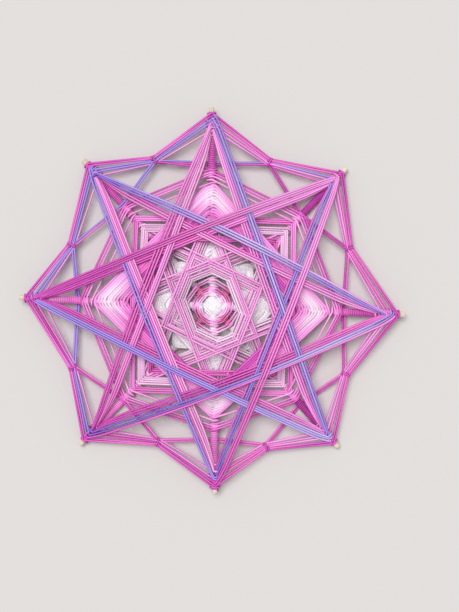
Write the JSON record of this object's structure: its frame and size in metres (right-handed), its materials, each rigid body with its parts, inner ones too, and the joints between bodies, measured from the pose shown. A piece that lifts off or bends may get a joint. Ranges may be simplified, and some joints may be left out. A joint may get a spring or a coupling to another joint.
{
  "type": "woven yarn mandala",
  "caption": "Flat eight-pointed wall ornament: crossed wooden sticks carry nested rings, squares and stars of wound yarn in white, pink, magenta and violet.",
  "frame": {"origin": "middle of the outline, on the plane that the undermost turns of yarn rest on", "axes": "+Z out of the face with the weaving, +Y towards the top arm, +X to the right seen from the front"},
  "size_m": [0.2208, 0.221, 0.0215],
  "materials": {
    "bare_wood": "pale unfinished dowel",
    "white_yarn": "smooth plied yarn",
    "pale_yarn": "smooth plied yarn",
    "pink_yarn": "smooth plied yarn",
    "rose_yarn": "smooth plied yarn",
    "magenta_yarn": "smooth plied yarn",
    "violet_yarn": "smooth plied yarn"
  },
  "bodies": {
    "root": {"north_south_stick": "bare_wood", "east_west_stick": "bare_wood", "northeast_southwest_stick": "bare_wood", "northwest_southeast_stick": "bare_wood", "centre_eye": "white_yarn", "rose_ring": "rose_yarn", "centre_web": "pale_yarn", "white_diagonal_square": "white_yarn", "white_upright_square": "white_yarn", "small_star": "pink_yarn", "diagonal_square_inner": "magenta_yarn", "diagonal_square_middle": "pale_yarn", "diagonal_square_outer": "pink_yarn", "upright_square": "pink_yarn", "thin_ring": "pale_yarn", "ring_band": "magenta_yarn", "north_arm_wrap": "magenta_yarn", "northeast_arm_wrap": "magenta_yarn", "east_arm_wrap": "magenta_yarn", "southeast_arm_wrap": "magenta_yarn", "south_arm_wrap": "magenta_yarn", "southwest_arm_wrap": "magenta_yarn", "west_arm_wrap": "magenta_yarn", "northwest_arm_wrap": "magenta_yarn", "rim_winding": "magenta_yarn", "tie_winding": "magenta_yarn", "star_inner": "pink_yarn", "star_outer": "violet_yarn"}
  },
  "joints": []
}
